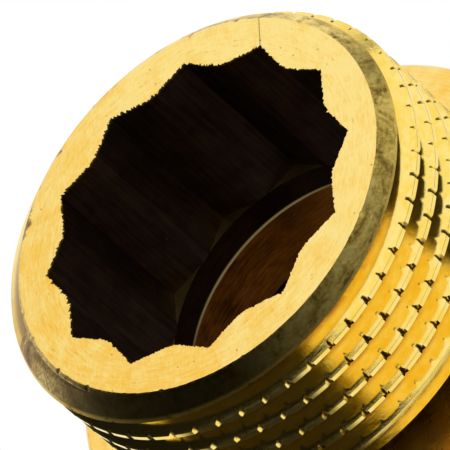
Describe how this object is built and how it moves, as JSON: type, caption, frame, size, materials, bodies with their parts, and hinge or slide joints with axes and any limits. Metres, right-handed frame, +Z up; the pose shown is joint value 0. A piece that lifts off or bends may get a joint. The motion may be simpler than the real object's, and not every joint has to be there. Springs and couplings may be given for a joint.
{
  "type": "threaded extension fitting",
  "caption": "Turned brass pipe extension: a notched parallel-thread spigot with a twelve-point key socket on a round body that is bored for a threaded socket at its other end.",
  "frame": {"origin": "centre of the flat end face at the socket's mouth, on which the fitting stands", "axes": "+Z up along the bore's axis, out of the threaded spigot; +X through a point of the key socket"},
  "size_m": [0.0322, 0.0322, 0.0323],
  "materials": {
    "brass": "bright turned"
  },
  "bodies": {
    "root": {"extension_body": "brass"}
  },
  "joints": []
}
